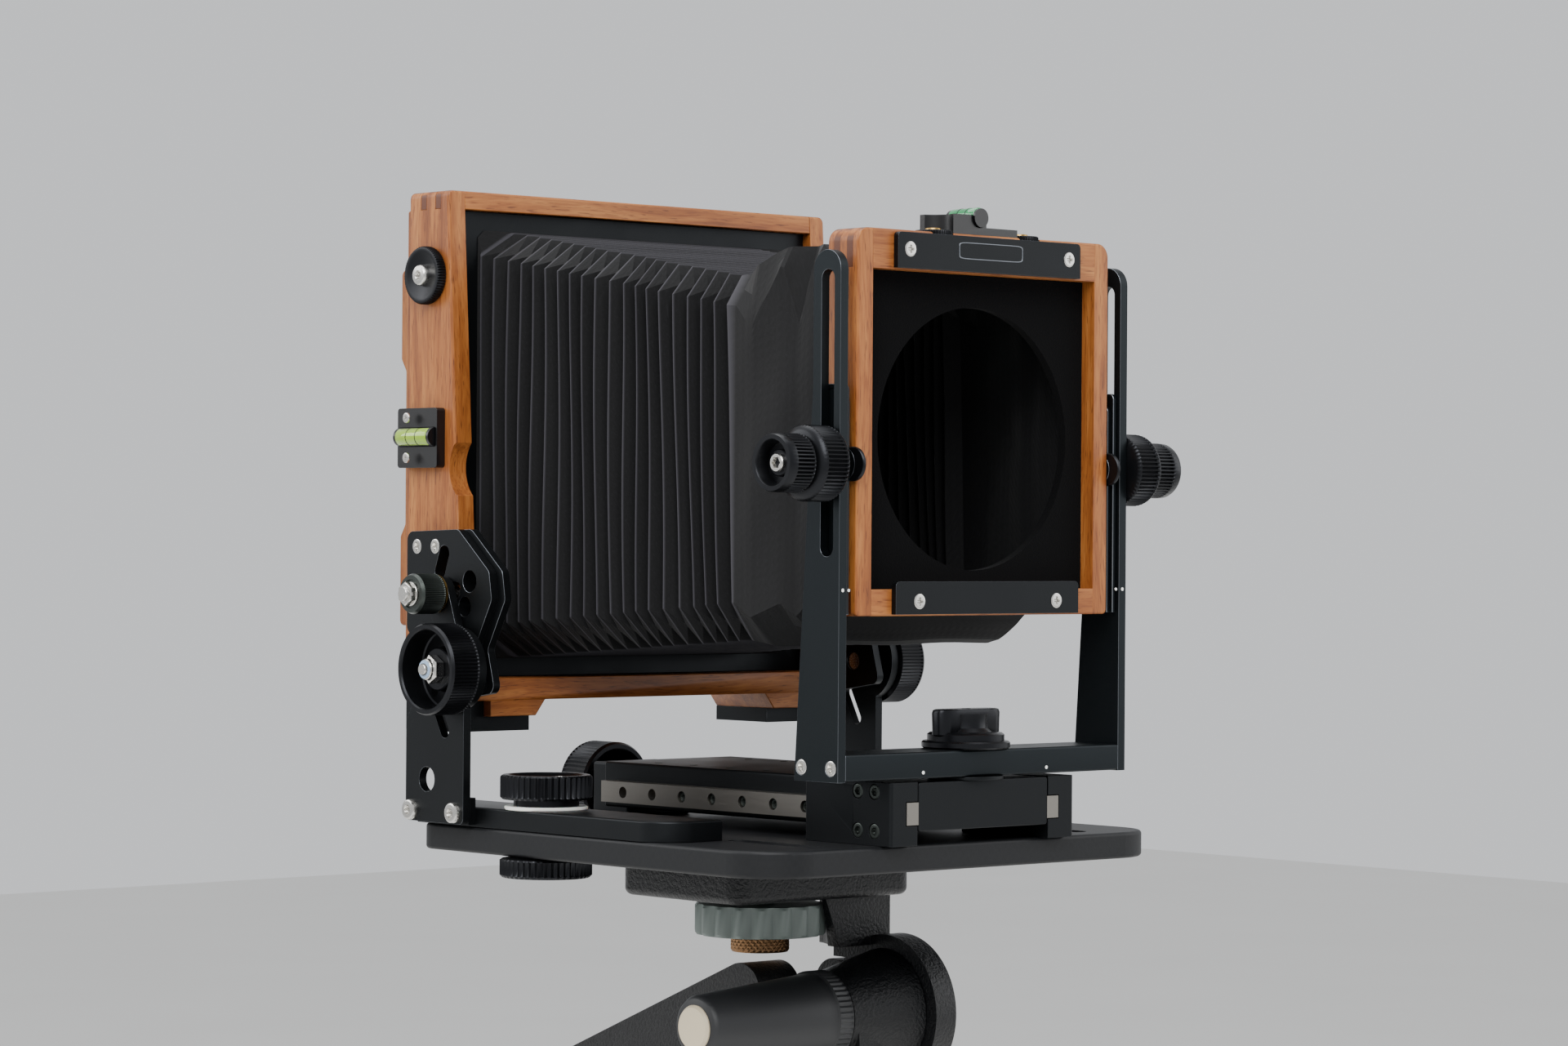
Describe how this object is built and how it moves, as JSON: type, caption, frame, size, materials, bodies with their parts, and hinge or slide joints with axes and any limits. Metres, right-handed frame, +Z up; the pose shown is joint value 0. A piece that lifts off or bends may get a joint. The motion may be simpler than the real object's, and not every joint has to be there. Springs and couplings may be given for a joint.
{
  "type": "film camera on tripod",
  "caption": "Wooden folding large format film camera on a tripod, with bellows, rising and tilting front, spring back and pan and tilt head.",
  "frame": {"origin": "centre of the bounding box's base, on the floor under the tripod", "axes": "+Z up, -Y towards the lens end of the camera, +X to the right seen from the lens end"},
  "size_m": [0.4318, 0.4606, 0.8056],
  "materials": {
    "anodised_black": "bead blasted, black anodised",
    "knob_black": "turned, straight knurled, black anodised",
    "stainless": "turned stainless steel",
    "rail_steel": "ground hardened steel",
    "cherry_wood": "satin oiled cherry",
    "carbon_plate": "matt carbon fibre plate",
    "bellows_cloth": "woven bellows cloth",
    "velvet_black": "flocked black",
    "level_black": "black level block with a green vial",
    "matt_glass": "fine ground",
    "spring_steel": "blackened spring steel",
    "cast_black": "crinkle painted casting",
    "grip_rubber": "moulded grip with a beige end cap",
    "ring_plastic": "moulded grey green plastic",
    "tube_black": "satin black anodised tube"
  },
  "bodies": {
    "tripod": {"tripod_crown": "cast_black"},
    "column": {"center_column": "tube_black"},
    "pan_base": {"pan_base": "cast_black"},
    "platform": {"head_plate": "cast_black", "pan_handle": "cast_black", "mounting_block": "carbon_plate", "bed": "carbon_plate", "guide_blocks": "anodised_black", "guide_screws": "stainless"},
    "focus_rail": {"focus_beam": "anodised_black", "steel_rails": "rail_steel"},
    "front_bracket": {"front_uprights": "anodised_black", "front_crossbar": "anodised_black", "bracket_screws": "stainless"},
    "rise_carrier": {"rise_plates": "anodised_black"},
    "front_frame": {"front_rails": "cherry_wood", "front_stiles": "cherry_wood", "lens_board": "velvet_black", "board_plates": "anodised_black", "front_screws": "stainless", "front_level": "level_black"},
    "rear_base": {"rear_base_bars": "anodised_black", "rear_lower_plates": "anodised_black", "rear_base_hardware": "stainless"},
    "rear_frame": {"rear_rails": "cherry_wood", "rear_stiles": "cherry_wood", "rear_brackets": "anodised_black", "rear_frame_hardware": "stainless", "bellows_plate": "anodised_black", "side_level": "level_black", "bellows": "bellows_cloth"},
    "film_back": {"back_frame": "cherry_wood", "back_springs": "spring_steel"},
    "glass_holder": {"glass_frame": "cherry_wood", "ground_glass": "matt_glass"},
    "leg_front": {"leg_front_upper": "tube_black"},
    "foot_front": {"leg_front_lower": "tube_black"},
    "leg_right": {"leg_right_upper": "tube_black"},
    "foot_right": {"leg_right_lower": "tube_black"},
    "leg_left": {"leg_left_upper": "tube_black"},
    "foot_left": {"leg_left_lower": "tube_black"},
    "focus_wheel": {"focus_wheel": "knob_black"},
    "wing_knob": {"wing_knob": "knob_black"},
    "back_lock": {"back_lock": "knob_black"},
    "tilt_grip": {"tilt_grip": "grip_rubber"},
    "camera_screw": {"camera_screw": "ring_plastic"},
    "column_knob": {"column_knob": "knob_black"},
    "lock_wheel_left": {"lock_wheel_left": "knob_black"},
    "lock_wheel_right": {"lock_wheel_right": "knob_black"},
    "clamp_knob_right": {"clamp_knob_right": "knob_black"},
    "clamp_knob_left": {"clamp_knob_left": "knob_black"},
    "pivot_knob_right": {"pivot_knob_right": "knob_black"},
    "pivot_knob_left": {"pivot_knob_left": "knob_black"},
    "rear_lock_right": {"rear_lock_right": "knob_black"},
    "rear_lock_left": {"rear_lock_left": "knob_black"},
    "rise_knob_right": {"rise_knob_right": "knob_black"},
    "rise_knob_left": {"rise_knob_left": "knob_black"},
    "tilt_knob_right": {"tilt_knob_right": "knob_black"},
    "tilt_knob_left": {"tilt_knob_left": "knob_black"}
  },
  "joints": [
    {"name": "front_focus", "type": "slide", "parent": "platform", "child": "focus_rail", "axis": [0, -1, 0], "range_m": [0, 0.1], "deforming": ["bellows"]},
    {"name": "front_rise", "type": "slide", "parent": "front_bracket", "child": "rise_carrier", "axis": [0, 0, 1], "range_m": [-0.025, 0.055], "deforming": ["bellows"]},
    {"name": "front_tilt", "type": "hinge", "parent": "rise_carrier", "child": "front_frame", "pos_m": [0, -0.07304, 0.71418], "axis": [1, 0, 0], "range_deg": [-15, 15], "deforming": ["bellows"]},
    {"name": "front_swing", "type": "hinge", "parent": "focus_rail", "child": "front_bracket", "pos_m": [0, -0.06974, 0.61738], "axis": [0, 0, 1], "range_deg": [-15, 15], "deforming": ["bellows"]},
    {"name": "rear_tilt", "type": "hinge", "parent": "rear_base", "child": "rear_frame", "pos_m": [0, 0.07326, 0.64817], "axis": [1, 0, 0], "range_deg": [-10, 10], "deforming": ["bellows"]},
    {"name": "rear_base_slide", "type": "slide", "parent": "platform", "child": "rear_base", "axis": [0, 1, 0], "range_m": [-0.015, 0.018], "deforming": ["bellows"]},
    {"name": "head_tilt", "type": "hinge", "parent": "pan_base", "child": "platform", "pos_m": [0, -0.00274, 0.53548], "axis": [1, 0, 0], "range_deg": [-12, 60]},
    {"name": "head_pan", "type": "hinge", "parent": "column", "child": "pan_base", "pos_m": [0, 0.01726, 0.47868], "axis": [0, 0, 1], "continuous": true},
    {"name": "column_slide", "type": "slide", "parent": "tripod", "child": "column", "axis": [0, 0, 1], "range_m": [0, 0.12]},
    {"name": "leg_front_fold", "type": "hinge", "parent": "tripod", "child": "leg_front", "pos_m": [0, -0.02274, 0.43667], "axis": [1, 0, 0], "range_deg": [0, 22]},
    {"name": "leg_right_fold", "type": "hinge", "parent": "tripod", "child": "leg_right", "pos_m": [0.03464, 0.03726, 0.43667], "axis": [-0.5, 0.866, 0], "range_deg": [0, 22]},
    {"name": "leg_left_fold", "type": "hinge", "parent": "tripod", "child": "leg_left", "pos_m": [-0.03464, 0.03726, 0.43667], "axis": [-0.5, -0.866, 0], "range_deg": [0, 22]},
    {"name": "leg_front_slide", "type": "slide", "parent": "leg_front", "child": "foot_front", "axis": [0, -0.4067, -0.9135], "range_m": [0, 0.2]},
    {"name": "leg_right_slide", "type": "slide", "parent": "leg_right", "child": "foot_right", "axis": [0.3522, 0.2034, -0.9135], "range_m": [0, 0.2]},
    {"name": "leg_left_slide", "type": "slide", "parent": "leg_left", "child": "foot_left", "axis": [-0.3522, 0.2034, -0.9135], "range_m": [0, 0.2]},
    {"name": "glass_spring", "type": "slide", "parent": "film_back", "child": "glass_holder", "axis": [0, 1, 0], "range_m": [0, 0.01], "stiffness_N_per_m": 600, "springref_m": -0.01, "deforming": ["back_springs"]},
    {"name": "back_release", "type": "slide", "parent": "rear_frame", "child": "film_back", "axis": [0, 1, 0], "range_m": [0, 0.02]},
    {"name": "focus_turn", "type": "hinge", "parent": "platform", "child": "focus_wheel", "pos_m": [0, 0.10176, 0.60567], "axis": [0, 1, 0], "range_deg": [-10, 6010]},
    {"name": "rise_knob_right_turn", "type": "hinge", "parent": "rise_carrier", "child": "rise_knob_right", "pos_m": [0.0632, -0.07304, 0.71418], "axis": [1, 0, 0], "range_deg": [0, 180]},
    {"name": "tilt_knob_right_turn", "type": "hinge", "parent": "rise_carrier", "child": "tilt_knob_right", "pos_m": [0.075, -0.07304, 0.71418], "axis": [1, 0, 0], "range_deg": [0, 180]},
    {"name": "pivot_knob_right_turn", "type": "hinge", "parent": "rear_base", "child": "pivot_knob_right", "pos_m": [0.095, 0.07326, 0.64817], "axis": [1, 0, 0], "range_deg": [0, 180]},
    {"name": "rear_lock_right_turn", "type": "hinge", "parent": "rear_base", "child": "rear_lock_right", "pos_m": [0.095, 0.08226, 0.67248], "axis": [1, 0, 0], "range_deg": [0, 180]},
    {"name": "clamp_knob_right_turn", "type": "hinge", "parent": "rear_base", "child": "clamp_knob_right", "pos_m": [0.075, 0.04726, 0.60467], "axis": [0, 0, 1], "range_deg": [0, 180]},
    {"name": "lock_wheel_right_turn", "type": "hinge", "parent": "front_frame", "child": "lock_wheel_right", "pos_m": [0.019, -0.07324, 0.78668], "axis": [0, 0, 1], "range_deg": [0, 180]},
    {"name": "rise_knob_left_turn", "type": "hinge", "parent": "rise_carrier", "child": "rise_knob_left", "pos_m": [-0.0632, -0.07304, 0.71418], "axis": [1, 0, 0], "range_deg": [-180, 0]},
    {"name": "tilt_knob_left_turn", "type": "hinge", "parent": "rise_carrier", "child": "tilt_knob_left", "pos_m": [-0.075, -0.07304, 0.71418], "axis": [1, 0, 0], "range_deg": [-180, 0]},
    {"name": "pivot_knob_left_turn", "type": "hinge", "parent": "rear_base", "child": "pivot_knob_left", "pos_m": [-0.095, 0.07326, 0.64817], "axis": [1, 0, 0], "range_deg": [-180, 0]},
    {"name": "rear_lock_left_turn", "type": "hinge", "parent": "rear_base", "child": "rear_lock_left", "pos_m": [-0.095, 0.08226, 0.67248], "axis": [1, 0, 0], "range_deg": [-180, 0]},
    {"name": "clamp_knob_left_turn", "type": "hinge", "parent": "rear_base", "child": "clamp_knob_left", "pos_m": [-0.075, 0.04726, 0.60467], "axis": [0, 0, 1], "range_deg": [-180, 0]},
    {"name": "lock_wheel_left_turn", "type": "hinge", "parent": "front_frame", "child": "lock_wheel_left", "pos_m": [-0.019, -0.07324, 0.78668], "axis": [0, 0, 1], "range_deg": [-180, 0]},
    {"name": "wing_knob_turn", "type": "hinge", "parent": "front_bracket", "child": "wing_knob", "pos_m": [0, -0.06974, 0.62567], "axis": [0, 0, 1], "range_deg": [0, 180]},
    {"name": "back_lock_turn", "type": "hinge", "parent": "rear_frame", "child": "back_lock", "pos_m": [-0.0838, 0.09996, 0.77758], "axis": [1, 0, 0], "range_deg": [0, 180]},
    {"name": "tilt_grip_turn", "type": "hinge", "parent": "platform", "child": "tilt_grip", "pos_m": [-0.054, -0.00274, 0.53548], "axis": [1, 0, 0], "range_deg": [0, 180]},
    {"name": "camera_screw_turn", "type": "hinge", "parent": "platform", "child": "camera_screw", "pos_m": [0, 0.02726, 0.56668], "axis": [0, 0, 1], "range_deg": [0, 330]},
    {"name": "column_knob_turn", "type": "hinge", "parent": "tripod", "child": "column_knob", "pos_m": [0, 0.05726, 0.45467], "axis": [0, 1, 0], "range_deg": [0, 270]}
  ],
  "couplings": [
    {"joint": "focus_turn", "follows": "front_focus", "rad_per_m": 1047.2}
  ]
}
